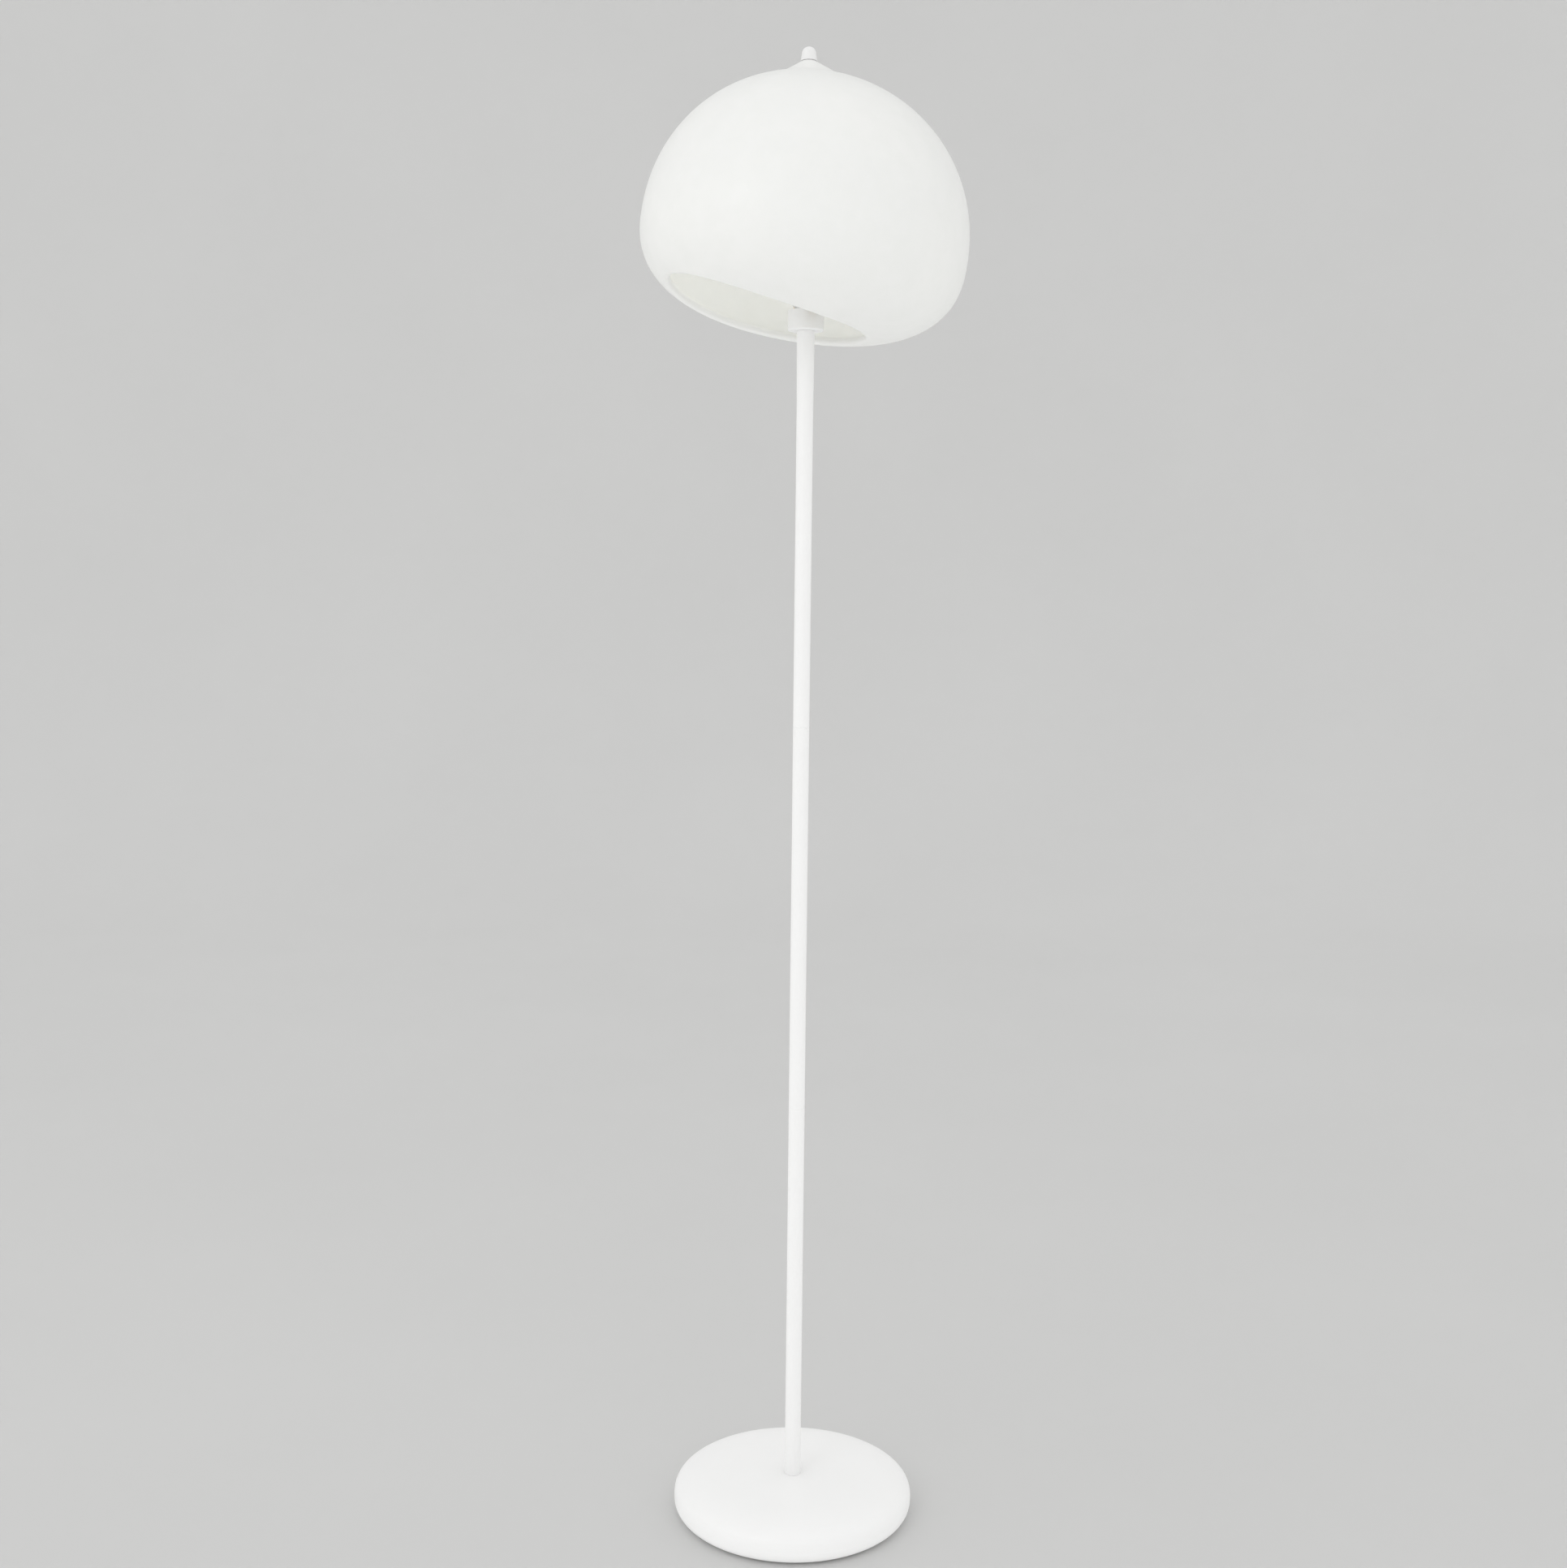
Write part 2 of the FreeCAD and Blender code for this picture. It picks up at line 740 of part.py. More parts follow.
def bulb_cap():
    """Screw cap, with its insulating cone."""
    cone_top = bulb_cap_low + bulb_insulator_height
    return turned_polygon(
        (0, bulb_cap_low),
        (bulb_contact_radius, bulb_cap_low),
        (bulb_cap_radius - bulb_insulator_inset, cone_top),
        (bulb_cap_radius, cone_top + bulb_cap_bevel),
        (bulb_cap_radius, bulb_shoulder),
        (0, bulb_shoulder),
    )


def globe_joint_radius():
    """Radius of the globe where it meets the housing."""
    centre = bulb_low + bulb_length - bulb_globe_radius
    return math.sqrt(bulb_globe_radius ** 2 - (centre - bulb_joint) ** 2)


def bulb_housing():
    """Housing that widens from the cap to the globe."""
    side = corner(bulb_shoulder_radius, globe_joint_radius(), bulb_joint, bulb_shoulder, bulb_housing_power)
    return turned(
        [(0, bulb_shoulder), side[0]],
        side,
        [side[-1], (0, bulb_joint)],
        [(0, bulb_joint), (0, bulb_shoulder)],
    )


def bulb_globe():
    """Thin opal globe."""
    centre = FreeCAD.Vector(0, 0, bulb_low + bulb_length - bulb_globe_radius)
    hollow = Part.makeSphere(bulb_globe_radius - bulb_wall, centre)
    globe = Part.makeSphere(bulb_globe_radius, centre).cut(hollow)
    return globe.common(disc(2 * bulb_globe_radius, bulb_joint, lamp_height))


# ---- shade ----
def shade_body(inset):
    """Closed egg of the shade's outer form, drawn in by an inset, on the shade's own axis."""
    radius = shade_radius - inset
    crown = shade_crown - inset
    depth = shade_depth - inset
    over = corner(0, radius, 0, crown, shade_crown_power, steps=24)
    under = corner(shade_flat_radius, radius, 0, -depth, shade_under_power, steps=24)
    floor = (0, -depth)
    body = turned(over, under[::-1], [under[0], floor], [floor, over[0]])
    return place_shade(body)


def place_shade(body):
    body.rotate(ORIGIN, Y_AXIS, shade_tilt)
    body.translate(FreeCAD.Vector(shade_offset, 0, shade_centre_level))
    return body


def mouth_cutter():
    """Slanted round bar that opens the underside into an oval mouth."""
    bar_length = shade_depth + mouth_radius + mouth_past_wall
    cutter = Part.makeCylinder(mouth_radius, bar_length, FreeCAD.Vector(0, 0, -shade_depth))
    cutter.rotate(ORIGIN, Y_AXIS, mouth_tilt)
    cutter.translate(FreeCAD.Vector(mouth_middle, 0, -shade_depth))
    return place_shade(cutter)


def neck_cone():
    """Cone from the neck down into the crown."""
    drop = (neck_spread - neck_radius) * math.tan(math.radians(neck_slope))
    return Part.makeCone(neck_spread, neck_radius, drop, FreeCAD.Vector(0, 0, neck_top - drop))


def edges_between(body, touches_first, touches_second):
    """Edges that lie between two kinds of face."""
    found = []
    for edge in body.Edges:
        faces = body.ancestorsOfType(edge, Part.Face)
        if any(touches_first(face) for face in faces) and any(touches_second(face) for face in faces):
            found.append(edge)
    return found


def is_cone(face):
    return isinstance(face.Surface, Part.Cone)


def is_mouth(face):
    return isinstance(face.Surface, Part.Cylinder) and abs(face.Surface.Radius - mouth_radius) < fit


def is_turned(face):
    return isinstance(face.Surface, Part.SurfaceOfRevolution)


def shade():
    outer = shade_body(0).fuse(neck_cone())
    outer = outer.makeFillet(neck_blend, edges_between(outer, is_cone, is_turned))
    body = outer.cut(shade_body(shade_wall)).cut(mouth_cutter())
    body = body.makeFillet(lip_round, edges_between(body, is_mouth, is_turned))
    seat = disc(neck_seat_radius, neck_seat - shade_wall, neck_seat)
    hole = disc(neck_bush_radius + fit, neck_seat - shade_wall, neck_top + shade_wall)
    return body.cut(seat).cut(hole)


def neck_bush():
    return sleeve(neck_bush_radius, harp_stud_radius + turning_fit, neck_seat, neck_top)


def shade_washer():
    top = neck_top + shade_washer_thickness
    return sleeve(shade_washer_radius, harp_stud_radius + turning_fit, neck_top, top)


# ---- finial ----
def finial():
    """Domed nut that closes the neck."""
    shoulder = finial_low + finial_shoulder_height
    dome = corner(0, finial_shoulder_radius, shoulder, lamp_height)
    body = turned(
        [(0, finial_low), (finial_foot_radius, finial_low)],
        [(finial_foot_radius, finial_low), (finial_shoulder_radius, shoulder)],
        dome[::-1],
        [(0, lamp_height), (0, finial_low)],
    )
    return body.cut(disc(harp_stud_radius + turning_fit, finial_low, finial_low + finial_bore_depth))


def pieces():
    """Every piece of the lamp by name."""
    parts = {
        "floor_felt": floor_felt(),
        "base_plate": base_plate(),
        "plate_screws": plate_screws(),
        "base_weight": base_weight(),
        "base_shell": base_shell(),
        "cord_bushing": cord_bushing(),
        "foot_stud": foot_stud(),
        "foot_washer": foot_washer(),
        "earth_tag": earth_tag(),
        "toothed_washer": toothed_washer(),
        "foot_nut": foot_nut(),
        "terminal_block": terminal_block(),
        "terminal_screws": terminal_screws(),
        "earth_wire": earth_wire(),
        "inner_lead": inner_lead(),
        "foot_bush": foot_bush(),
        "top_bush": top_bush(),
        "top_nipple": top_nipple(),
        "hub_cup": hub_cup(),
        "harp_saddle": harp_saddle(),
        "harp_wire": harp_wire(),
        "harp_stud": harp_stud(),
        "harp_ferrule_front": harp_ferrule(-1),
        "harp_ferrule_back": harp_ferrule(1),
        "rest_washer": rest_washer(),
        "holder_cap": holder_cap(),
        "holder_lock_nut": holder_lock_nut(),
        "holder_shell": holder_shell(),
        "holder_liner": holder_liner(),
        "socket_sleeve": socket_sleeve(),
        "holder_contact": holder_contact(),
        "switch_spindle": switch_spindle(),
        "switch_knob": switch_knob(),
        "bulb_contact": bulb_contact(),
        "bulb_cap": bulb_cap(),
        "bulb_housing": bulb_housing(),
        "bulb_globe": bulb_globe(),
        "shade": shade(),
        "neck_bush": neck_bush(),
        "shade_washer": shade_washer(),
        "finial": finial(),
    }
    for index in range(pole_sections):
        low = section_level(index)
        top_radius = pole_flare_radius if index == pole_sections - 1 else pole_radius
        parts[f"pole_tube_{index + 1}"] = pole_tube(low, section_level(index + 1), top_radius)
        if index:
            parts[f"pole_joiner_{index}"] = pole_joiner(low)
    return parts


def main():
    os.makedirs("parts", exist_ok=True)
    for name, shape in pieces().items():
        shape.exportStep(f"parts/{name}.step")
        print(name, "valid" if shape.isValid() else "INVALID", len(shape.Solids), round(shape.Volume, 1))
    print("height", round(lamp_height, 2), "lead bend radius", round(stud_low - lead_height, 2))


main()
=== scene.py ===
import json
import math
from collections import namedtuple

import bpy
from mathutils import Matrix, Vector


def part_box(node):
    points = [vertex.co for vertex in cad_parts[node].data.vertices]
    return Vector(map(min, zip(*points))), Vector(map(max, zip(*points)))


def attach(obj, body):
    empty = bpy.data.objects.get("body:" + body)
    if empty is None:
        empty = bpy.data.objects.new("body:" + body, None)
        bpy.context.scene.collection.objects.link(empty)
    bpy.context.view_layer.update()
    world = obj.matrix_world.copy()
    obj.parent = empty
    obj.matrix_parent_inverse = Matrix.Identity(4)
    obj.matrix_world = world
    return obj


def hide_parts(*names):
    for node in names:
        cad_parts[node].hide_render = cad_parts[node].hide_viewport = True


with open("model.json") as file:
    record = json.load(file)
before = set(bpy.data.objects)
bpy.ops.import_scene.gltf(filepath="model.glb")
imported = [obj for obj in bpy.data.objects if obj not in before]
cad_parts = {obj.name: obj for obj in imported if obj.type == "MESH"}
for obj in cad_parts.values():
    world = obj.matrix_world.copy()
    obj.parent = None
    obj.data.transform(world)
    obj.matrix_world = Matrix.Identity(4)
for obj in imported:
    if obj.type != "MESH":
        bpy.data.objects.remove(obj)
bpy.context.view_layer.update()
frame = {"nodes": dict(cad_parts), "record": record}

nodes = frame["nodes"]

# ---- camera: metres and radians, the sensor in millimetres ----
IMAGE_WIDTH = 1931
IMAGE_HEIGHT = 1932
SENSOR = 36.0
FOCAL_PIXELS = 2179.8
SHADE_TURN = math.radians(18.2)       # how far the mouth turns from the picture's left towards the camera
CAMERA_SIDE = -0.010
CAMERA_DISTANCE = 1.8
CAMERA_HEIGHT = 0.9451
CAMERA_YAW = -0.0041
CAMERA_PITCH = 0.096
CAMERA_ROLL = 0.0108

# ---- studio: metres and watts ----
FLOOR_SEEN = (0.58, 0.58, 0.575)      # what the camera and reflections see
FLOOR_CLOUD = (0.60, 0.60, 0.595)
FLOOR_CLOUD_SIZE = 0.8
FLOOR_BOUNCE = (0.97, 0.97, 0.965)    # what the lamp is lit by, as from white boards around it
FLOOR_ROUGHNESS = 0.9
FLOOR_HALF = 12.0
WALL_DISTANCE = 3.2
WALL_BEND = 1.2
WALL_STEPS = 12
BACKDROP_SEEN = 0.60                  # the world's strength, as the camera and reflections see it
WORLD_LIGHT = 1.02                    # the world's strength, as it lights the lamp
KEY_PLACE = (-1.9, -2.4, 2.4)         # right, away and up from the pole's foot, as the camera sees it
KEY_AIM = 0.9                         # height on the pole
KEY_SIZE = 1.4
KEY_POWER = 9.0
FILL_POWER = 0.25                     # hidden lamp over the bulb, so that the inside isn't black
GLOBE_TO_FILL = 3.0                   # the bulb's width over the fill's radius
FILL_LIFT = 1.5                       # how far the fill is above the bulb, in its own radii

# ---- threads, in metres ----
Thread = namedtuple("Thread", "pitch depth fade")
SCREW_PITCH = 0.00363
ROLLED_EDGE = 0.001
CAP_THREAD = Thread(SCREW_PITCH, depth=0.0009, fade=2 * ROLLED_EDGE)
SLEEVE_THREAD = Thread(SCREW_PITCH, depth=0.0002, fade=2 * ROLLED_EDGE)
SLEEVE_WALL = 0.0004
CONE_INSET = 0.002
CONE_HEIGHT = 0.003
ROD_THREAD = Thread(pitch=0.001, depth=0.0006, fade=0.001)
ROD_BORE = 0.0036                     # radius
AROUND = 64                           # points to a ring
THREAD_STEPS = 8                      # rings to a turn of thread
SHARP_ANGLE = math.radians(38)

# ---- noise in the finishes ----
NOISE_ROUGHNESS = 0.55
NOISE_LOW = 0.35                      # most of a noise lies between these two
NOISE_HIGH = 0.65
STRIPE_SCALE = 90.0                   # of the earth wire

slot_of = {subpart["node"]: subpart["material_slot"] for subpart in frame["record"]["subparts"]}
body_of = {}
for body, held in frame["record"]["behaviour"]["bodies"].items():
    for node in held:
        body_of[node] = body


def link_object(item):
    bpy.context.scene.collection.objects.link(item)


def smooth_mesh(name, points, faces):
    mesh = bpy.data.meshes.new(name)
    mesh.from_pydata(points, [], faces)
    for face in mesh.polygons:
        face.use_smooth = True
    return mesh


# ---- finishes ----
class Surface:
    """A principled material whose colour, roughness and normal come from noise in the piece's own frame."""

    def __init__(self, name, color):
        self.material = bpy.data.materials.new(name)
        self.material.use_nodes = True
        self.tree = self.material.node_tree
        self.shader = self.tree.nodes["Principled BSDF"]
        self.color = (*color, 1.0)
        self.shader.inputs["Base Color"].default_value = self.color
        self.place = self.tree.nodes.new("ShaderNodeTexCoord").outputs["Object"]
        self.normal = None

    def set(self, **inputs):
        """Uniform values, by the shader's own names with _ for a space."""
        for name, value in inputs.items():
            self.shader.inputs[name.replace("_", " ")].default_value = value

    def link(self, source, target):
        self.tree.links.new(source, target)

    def noise(self, size, detail=3.0, stretch=(1.0, 1.0, 1.0)):
        """Noise whose features are about size metres across."""
        mapping = self.tree.nodes.new("ShaderNodeMapping")
        mapping.inputs["Scale"].default_value = stretch
        self.link(self.place, mapping.inputs["Vector"])
        node = self.tree.nodes.new("ShaderNodeTexNoise")
        node.inputs["Scale"].default_value = 1.0 / size
        node.inputs["Detail"].default_value = detail
        node.inputs["Roughness"].default_value = NOISE_ROUGHNESS
        self.link(mapping.outputs["Vector"], node.inputs["Vector"])
        return node.outputs["Fac"]

    def ranged(self, value, low, high):
        """A noise or wave spread from low to high."""
        node = self.tree.nodes.new("ShaderNodeMapRange")
        node.inputs["From Min"].default_value = NOISE_LOW
        node.inputs["From Max"].default_value = NOISE_HIGH
        node.inputs["To Min"].default_value = low
        node.inputs["To Max"].default_value = high
        self.link(value, node.inputs["Value"])
        return node.outputs["Result"]

    def tint(self, value, other, amount):
        """Blends what the colour is so far towards another colour by a value."""
        mix = self.tree.nodes.new("ShaderNodeMix")
        mix.data_type = "RGBA"
        mix.inputs["A"].default_value = self.color
        base = self.shader.inputs["Base Color"]
        if base.is_linked:
            self.link(base.links[0].from_socket, mix.inputs["A"])
        mix.inputs["B"].default_value = (*other, 1.0)
        self.link(self.ranged(value, 0.0, amount), mix.inputs["Factor"])
        self.link(mix.outputs["Result"], base)

    def clouds(self, other, amount, **noise):
        """Clouds of another colour."""
        self.tint(self.noise(**noise), other, amount)

    def patches(self, low, high, **noise):
        """Roughness that wanders between two values."""
        self.link(self.ranged(self.noise(**noise), low, high), self.shader.inputs["Roughness"])

    def grain(self, depth, **noise):
        """Bumps of a depth in metres, on top of those made before."""
        node = self.tree.nodes.new("ShaderNodeBump")
        node.inputs["Distance"].default_value = depth
        self.link(self.noise(**noise), node.inputs["Height"])
        if self.normal:
            self.link(self.normal, node.inputs["Normal"])
        self.normal = node.outputs["Normal"]
        self.link(self.normal, self.shader.inputs["Normal"])


def shade_white():
    """Satin moulded shell: faint clouds in the colour, a soft skin and very slight waves."""
    surface = Surface("shade_white", (0.83, 0.835, 0.82))
    surface.clouds((0.855, 0.855, 0.835), amount=0.5, size=0.11, detail=2.0)
    surface.clouds((0.80, 0.81, 0.785), amount=0.35, size=0.018, detail=4.0)
    surface.patches(low=0.46, high=0.56, size=0.03)
    surface.grain(depth=0.0006, size=0.05, detail=1.0)
    surface.grain(depth=0.00006, size=0.0011, detail=2.0)
    surface.set(Coat_Weight=0.08)
    return surface.material


def metal_white():
    """Powder coat on steel: fine orange peel, slight handling marks."""
    surface = Surface("metal_white", (0.872, 0.872, 0.867))
    surface.clouds((0.855, 0.855, 0.85), amount=0.35, size=0.06)
    surface.patches(low=0.36, high=0.5, size=0.012, detail=4.0)
    surface.grain(depth=0.00005, size=0.0009)
    surface.grain(depth=0.00012, size=0.02, detail=1.0)
    return surface.material


def knob_white():
    """Enamel on the finial and its washer."""
    surface = Surface("knob_white", (0.825, 0.825, 0.82))
    surface.clouds((0.79, 0.79, 0.785), amount=0.4, size=0.005)
    surface.patches(low=0.28, high=0.42, size=0.003)
    surface.grain(depth=0.00003, size=0.0007, detail=2.0)
    return surface.material


def cast_weight():
    """Rough iron under dark primer."""
    surface = Surface("cast_weight", (0.055, 0.056, 0.06))
    surface.clouds((0.11, 0.085, 0.07), amount=0.6, size=0.03, detail=5.0)
    surface.patches(low=0.58, high=0.85, size=0.01, detail=4.0)
    surface.grain(depth=0.0004, size=0.0016, detail=5.0)
    surface.set(Metallic=0.3)
    return surface.material


def plate_steel():
    """Dark painted pressing with scuffs."""
    surface = Surface("plate_steel", (0.06, 0.061, 0.064))
    surface.clouds((0.14, 0.14, 0.14), amount=0.5, size=0.02, detail=6.0, stretch=(1.0, 5.0, 1.0))
    surface.patches(low=0.4, high=0.65, size=0.02, detail=5.0)
    surface.grain(depth=0.00008, size=0.0012)
    return surface.material


def felt_grey():
    """Pressed fibres."""
    surface = Surface("felt_grey", (0.17, 0.17, 0.175))
    surface.clouds((0.30, 0.30, 0.30), amount=0.8, size=0.0012, detail=6.0, stretch=(1.0, 0.25, 1.0))
    surface.grain(depth=0.0005, size=0.0008, detail=6.0, stretch=(0.3, 1.0, 1.0))
    surface.set(Roughness=0.95, Sheen_Weight=0.4)
    return surface.material


def bright_steel():
    """Zinc plate: a fine turned grain and dull patches."""
    surface = Surface("bright_steel", (0.60, 0.60, 0.585))
    surface.clouds((0.50, 0.51, 0.52), amount=0.6, size=0.006, detail=4.0)
    surface.patches(low=0.26, high=0.5, size=0.004, detail=4.0)
    surface.grain(depth=0.00003, size=0.0005, stretch=(0.2, 0.2, 3.0))
    surface.set(Metallic=1.0)
    return surface.material


def brass():
    """Turned brass, slightly dulled."""
    surface = Surface("brass", (0.76, 0.57, 0.27))
    surface.clouds((0.55, 0.38, 0.18), amount=0.6, size=0.008, detail=4.0)
    surface.patches(low=0.22, high=0.48, size=0.005, detail=4.0)
    surface.grain(depth=0.00003, size=0.0005, stretch=(0.2, 0.2, 3.0))
    surface.set(Metallic=1.0)
    return surface.material


def holder_plastic():
    """Moulded cap and knob, a little glossy."""
    surface = Surface("holder_plastic", (0.82, 0.82, 0.81))
    surface.clouds((0.79, 0.785, 0.765), amount=0.5, size=0.01)
    surface.patches(low=0.22, high=0.36, size=0.004)
    surface.grain(depth=0.00003, size=0.0009, detail=2.0)
    return surface.material


def holder_ceramic():
    """Porcelain with a thin glaze."""
    surface = Surface("holder_ceramic", (0.82, 0.81, 0.775))
    surface.clouds((0.75, 0.735, 0.69), amount=0.5, size=0.007, detail=4.0)
    surface.patches(low=0.12, high=0.32, size=0.003)
    surface.grain(depth=0.00012, size=0.002)
    surface.set(Coat_Weight=0.5)
    return surface.material


def terminal_nylon():
    """Natural nylon, slightly yellow where it is thick."""
    surface = Surface("terminal_nylon", (0.72, 0.725, 0.69))
    surface.clouds((0.64, 0.63, 0.56), amount=0.6, size=0.005)
    surface.patches(low=0.38, high=0.55, size=0.003)
    surface.grain(depth=0.00005, size=0.0012, detail=2.0)
    return surface.material


def lead_rubber():
    """White sheath of the lead."""
    surface = Surface("lead_rubber", (0.74, 0.74, 0.725))
    surface.clouds((0.62, 0.62, 0.60), amount=0.5, size=0.006, detail=4.0)
    surface.patches(low=0.48, high=0.64, size=0.003)
    surface.grain(depth=0.00006, size=0.0008, stretch=(1.0, 1.0, 0.2))
    return surface.material


def earth_green():
    """Green sheath with a yellow stripe."""
    surface = Surface("earth_green", (0.06, 0.28, 0.07))
    wave = surface.tree.nodes.new("ShaderNodeTexWave")
    wave.inputs["Scale"].default_value = STRIPE_SCALE
    surface.link(surface.place, wave.inputs["Vector"])
    surface.tint(wave.outputs["Fac"], (0.72, 0.62, 0.06), 1.0)
    surface.patches(low=0.34, high=0.5, size=0.002)
    surface.grain(depth=0.00004, size=0.0007, detail=2.0)
    return surface.material


def bulb_opal():
    """Opal globe."""
    surface = Surface("bulb_opal", (0.86, 0.86, 0.845))
    surface.clouds((0.82, 0.82, 0.80), amount=0.5, size=0.02)
    surface.patches(low=0.12, high=0.22, size=0.01, detail=2.0)
    surface.grain(depth=0.00008, size=0.015, detail=1.0)
    surface.set(Coat_Weight=0.3)
    return surface.material


def bulb_housing():
    """White housing between the cap and the globe."""
    surface = Surface("bulb_housing", (0.81, 0.81, 0.80))
    surface.clouds((0.77, 0.77, 0.755), amount=0.5, size=0.01)
    surface.patches(low=0.3, high=0.44, size=0.004)
    surface.grain(depth=0.00004, size=0.0009, detail=2.0)
    return surface.material


FINISHES = [
    shade_white, metal_white, knob_white, cast_weight, plate_steel, felt_grey, bright_steel, brass,
    holder_plastic, holder_ceramic, terminal_nylon, lead_rubber, earth_green, bulb_opal, bulb_housing,
]


def finish_nodes():
    """Gives every carried-over node the finish of its slot."""
    finishes = {make.__name__: make() for make in FINISHES}
    for node, slot in slot_of.items():
        mesh = nodes[node].data
        mesh.materials.clear()
        mesh.materials.append(finishes[slot])


# ---- threaded pieces in place of plain ones ----
def add_piece(name, points, faces, node):
    """Mesh that stands for a node, with its body, slot and finish."""
    mesh = smooth_mesh(name, points, faces)
    mesh.set_sharp_from_angle(angle=SHARP_ANGLE)
    mesh.materials.append(nodes[node].data.materials[0])
    piece = bpy.data.objects.new(name, mesh)
    link_object(piece)
    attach(piece, body_of[node])
    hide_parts(node)


def plain_ring(radius, level):
    turns = [2 * math.pi * step / AROUND for step in range(AROUND)]
    return [(radius * math.cos(turn), radius * math.sin(turn), level) for turn in turns]


def threaded_wall(low, high, crest, thread):
    """Rings of a wall with a rolled thread, from its low end to its high end. The thread fades at both."""
    rows = []
    count = round((high - low) / thread.pitch * THREAD_STEPS)
    for row in range(count + 1):
        level = low + (high - low) * row / count
        strength = min(1.0, (level - low) / thread.fade, (high - level) / thread.fade)
        ring = []
        for step in range(AROUND):
            turn = 2 * math.pi * step / AROUND
            wave = 0.5 - 0.5 * math.cos(2 * math.pi * (level / thread.pitch - step / AROUND))
            radius = crest - thread.depth * strength * wave
            ring.append((radius * math.cos(turn), radius * math.sin(turn), level))
        rows.append(ring)
    return rows


def skin(rows, closed):
    """Points and faces of a stack of rings. A closed stack joins its last ring to its first, and an open
    one gets a flat face at each end."""
    points = [point for ring in rows for point in ring]
    faces = []
    for row in range(len(rows) if closed else len(rows) - 1):
        here = row * AROUND
        above = (row + 1) % len(rows) * AROUND
        for step in range(AROUND):
            after = (step + 1) % AROUND
            faces.append((here + step, here + after, above + after, above + step))
    if not closed:
        faces.append(tuple(reversed(range(AROUND))))
        faces.append(tuple(range(len(points) - AROUND, len(points))))
    return points, faces


def bulb_cap_thread():
    """Screw cap with a rolled thread over its insulating cone."""
    low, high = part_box("bulb_cap")
    crest = high[0]
    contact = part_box("bulb_contact")[1][0]
    cone_top = low[2] + CONE_HEIGHT
    rows = [plain_ring(contact, low[2]), plain_ring(crest - CONE_INSET, cone_top)]
    rows += threaded_wall(cone_top + ROLLED_EDGE, high[2], crest, CAP_THREAD)
    add_piece("bulb_cap_thread", *skin(rows, closed=False), "bulb_cap")


def socket_thread():
    """Brass screw shell with the same pitch pressed through its wall."""
    low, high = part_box("socket_sleeve")
    crest = high[0]
    outer = threaded_wall(low[2], high[2], crest, SLEEVE_THREAD)
    inner = threaded_wall(low[2], high[2], crest - SLEEVE_WALL, SLEEVE_THREAD)
    add_piece("socket_thread", *skin(outer + inner[::-1], closed=True), "socket_sleeve")


def rod_thread(node):
    """Hollow rod with its fine thread."""
    low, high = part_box(node)
    rows = threaded_wall(low[2], high[2], high[0], ROD_THREAD)
    rows += [plain_ring(ROD_BORE, high[2]), plain_ring(ROD_BORE, low[2])]
    add_piece(node + "_thread", *skin(rows, closed=True), node)


# ---- studio ----
def seen_directly(tree):
    """1 on rays that the camera sees straight, by reflection or through glass, 0 on the others."""
    path = tree.nodes.new("ShaderNodeLightPath")
    total = path.outputs["Is Camera Ray"]
    for name in ("Is Glossy Ray", "Is Transmission Ray"):
        largest = tree.nodes.new("ShaderNodeMath")
        largest.operation = "MAXIMUM"
        tree.links.new(total, largest.inputs[0])
        tree.links.new(path.outputs[name], largest.inputs[1])
        total = largest.outputs["Value"]
    return total


def studio_material():
    """Pale floor that lights the lamp from below more than it shows."""
    surface = Surface("studio_floor", FLOOR_SEEN)
    surface.clouds(FLOOR_CLOUD, amount=0.5, size=FLOOR_CLOUD_SIZE)
    base = surface.shader.inputs["Base Color"]
    mix = surface.tree.nodes.new("ShaderNodeMix")
    mix.data_type = "RGBA"
    mix.inputs["A"].default_value = (*FLOOR_BOUNCE, 1.0)
    surface.link(base.links[0].from_socket, mix.inputs["B"])
    surface.link(seen_directly(surface.tree), mix.inputs["Factor"])
    surface.link(mix.outputs["Result"], base)
    surface.set(Roughness=FLOOR_ROUGHNESS)
    return surface.material


def build_floor():
    """Floor that bends up into a wall behind the lamp, square to the camera."""
    profile = [(-FLOOR_HALF, 0.0)]
    for step in range(WALL_STEPS + 1):
        turn = math.pi / 2 * step / WALL_STEPS
        away = WALL_DISTANCE + WALL_BEND * math.sin(turn)
        profile.append((away, WALL_BEND * (1 - math.cos(turn))))
    profile.append((WALL_DISTANCE + WALL_BEND, FLOOR_HALF))
    points = []
    for away, up in profile:
        points += [(-FLOOR_HALF, away, up), (FLOOR_HALF, away, up)]
    faces = [(2 * row, 2 * row + 1, 2 * row + 3, 2 * row + 2) for row in range(len(profile) - 1)]
    mesh = smooth_mesh("studio_floor", points, faces)
    mesh.materials.append(studio_material())
    floor = bpy.data.objects.new("studio_floor", mesh)
    floor.rotation_euler = (0, 0, -SHADE_TURN)
    link_object(floor)


def add_lamp(name, kind, power, place):
    holder = bpy.data.objects.new(name, bpy.data.lights.new(name, kind))
    holder.data.energy = power
    holder.location = place
    link_object(holder)
    return holder


def key_light():
    """Soft square lamp at the camera's upper left, aimed at the pole."""
    place = Matrix.Rotation(-SHADE_TURN, 3, "Z") @ Vector(KEY_PLACE)
    key = add_lamp("key_light", "AREA", KEY_POWER, place)
    key.data.size = KEY_SIZE
    aim = Vector((0, 0, KEY_AIM)) - place
    key.rotation_euler = aim.to_track_quat("-Z", "Y").to_euler()


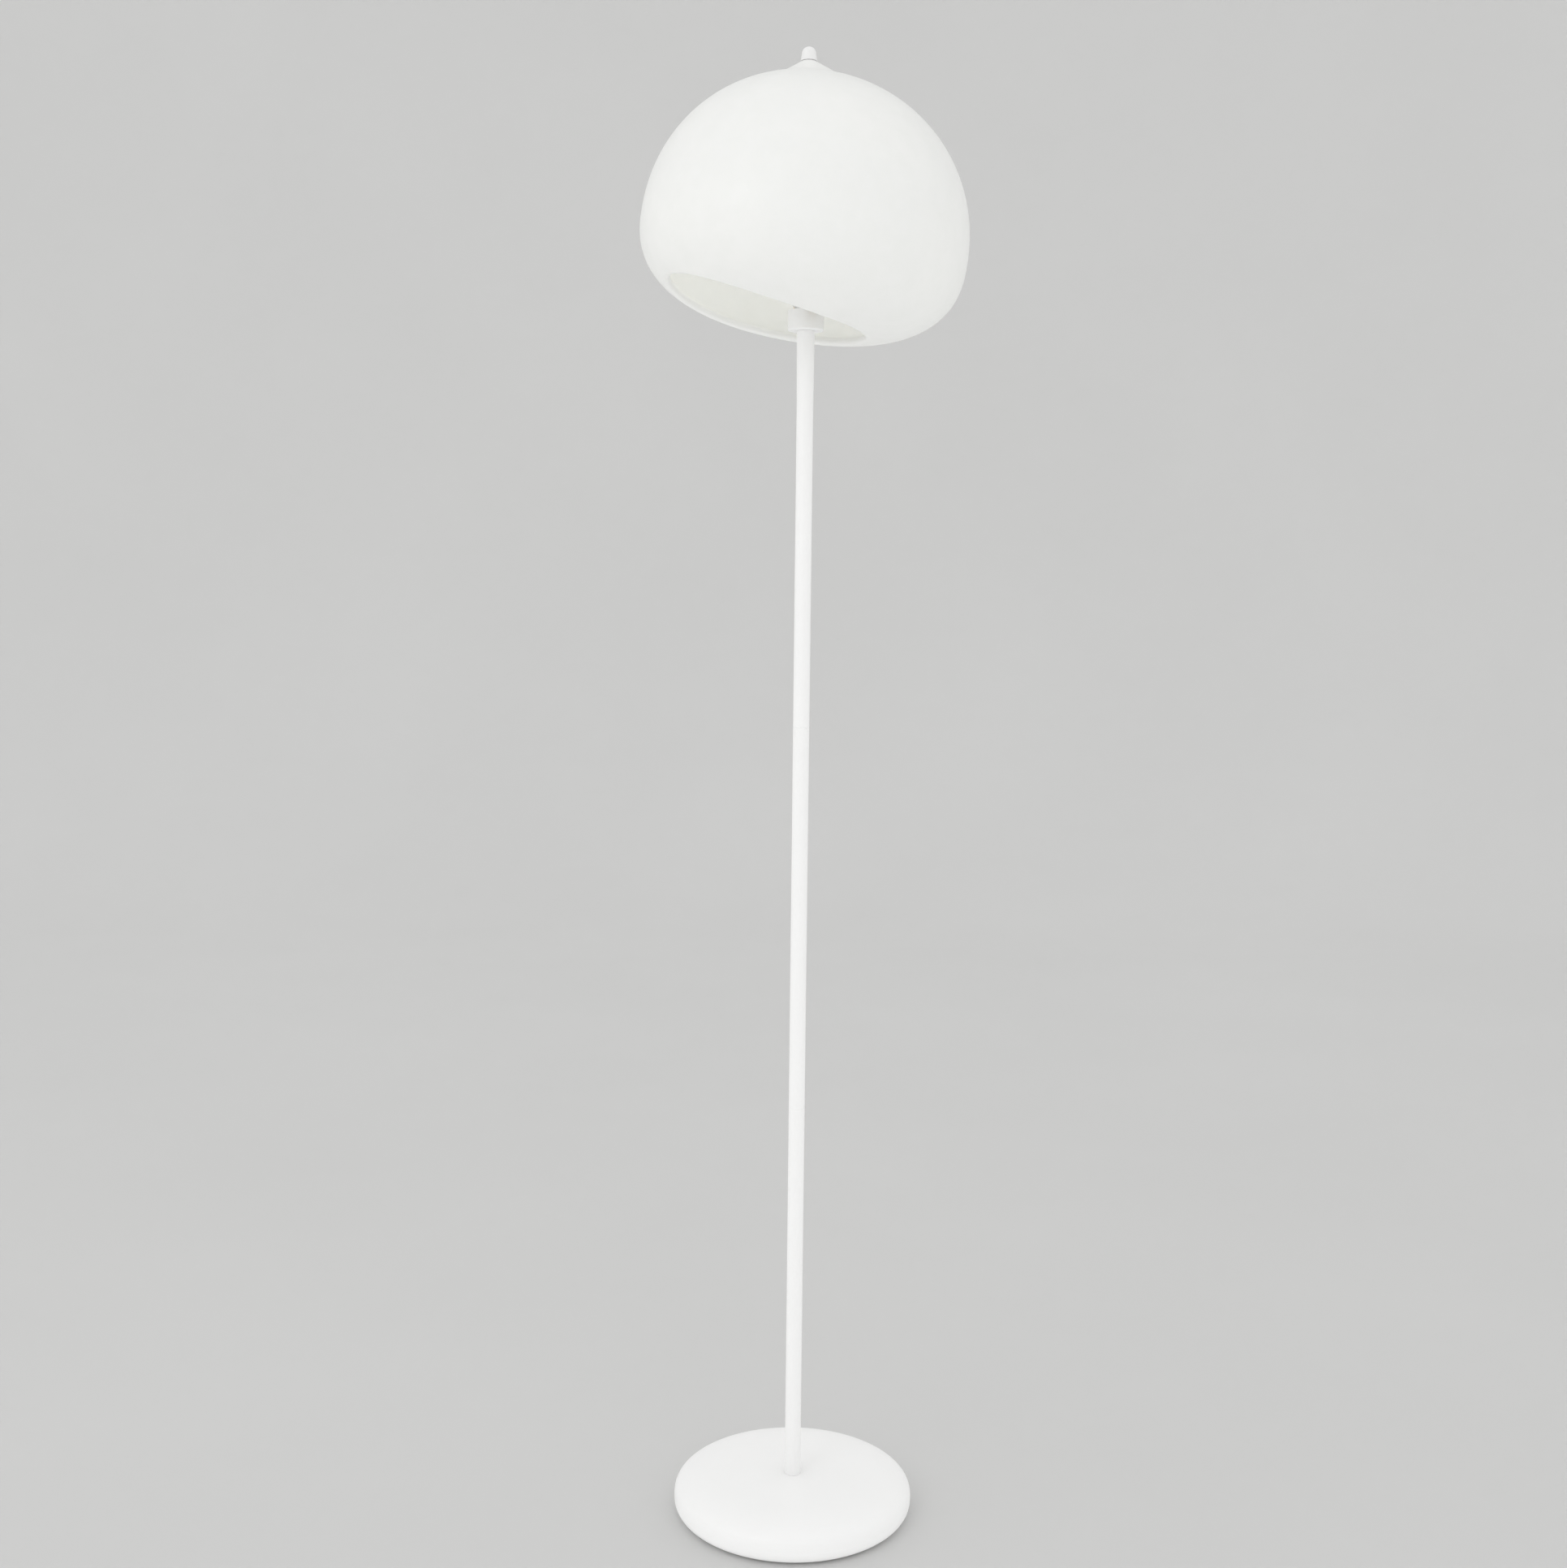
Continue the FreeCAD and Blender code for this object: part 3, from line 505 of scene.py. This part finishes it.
def shade_fill():
    """Soft lamp inside the shade, over the bulb."""
    globe_low, globe_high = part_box("bulb_globe")
    radius = (globe_high[0] - globe_low[0]) / GLOBE_TO_FILL
    fill = add_lamp("shade_fill", "POINT", FILL_POWER, (0, 0, globe_high[2] + FILL_LIFT * radius))
    fill.data.shadow_soft_size = radius
    fill.visible_camera = False


def build_world():
    """Even light all round, seen as a pale backdrop."""
    world = bpy.data.worlds.new("studio_world")
    world.use_nodes = True
    tree = world.node_tree
    mix = tree.nodes.new("ShaderNodeMix")
    mix.inputs["A"].default_value = WORLD_LIGHT
    mix.inputs["B"].default_value = BACKDROP_SEEN
    tree.links.new(seen_directly(tree), mix.inputs["Factor"])
    background = tree.nodes["Background"]
    background.inputs["Color"].default_value = (1, 1, 1, 1)
    tree.links.new(mix.outputs["Result"], background.inputs["Strength"])
    bpy.context.scene.world = world


# ---- camera ----
def build_camera():
    """Camera that is turned by its yaw, pitch and roll, and then goes round the lamp with the studio."""
    camera = bpy.data.cameras.new("camera")
    camera.sensor_width = SENSOR
    camera.lens = FOCAL_PIXELS * SENSOR / max(IMAGE_WIDTH, IMAGE_HEIGHT)
    holder = bpy.data.objects.new("camera", camera)
    link_object(holder)
    bpy.context.scene.camera = holder
    ahead = Vector((math.sin(CAMERA_YAW) * math.cos(CAMERA_PITCH),
                    math.cos(CAMERA_YAW) * math.cos(CAMERA_PITCH), -math.sin(CAMERA_PITCH)))
    level_right = Vector((math.cos(CAMERA_YAW), -math.sin(CAMERA_YAW), 0))
    level_up = level_right.cross(ahead)
    right = level_right * math.cos(CAMERA_ROLL) + level_up * math.sin(CAMERA_ROLL)
    up = level_up * math.cos(CAMERA_ROLL) - level_right * math.sin(CAMERA_ROLL)
    turn = Matrix((right, up, -ahead)).transposed().to_4x4()
    place = Matrix.Translation(Vector((CAMERA_SIDE, -CAMERA_DISTANCE, CAMERA_HEIGHT)))
    holder.matrix_world = Matrix.Rotation(-SHADE_TURN, 4, "Z") @ place @ turn


finish_nodes()
bulb_cap_thread()
socket_thread()
rod_thread("foot_stud")
rod_thread("top_nipple")
build_floor()
build_world()
key_light()
shade_fill()
build_camera()
bpy.context.scene.view_settings.view_transform = "Standard"
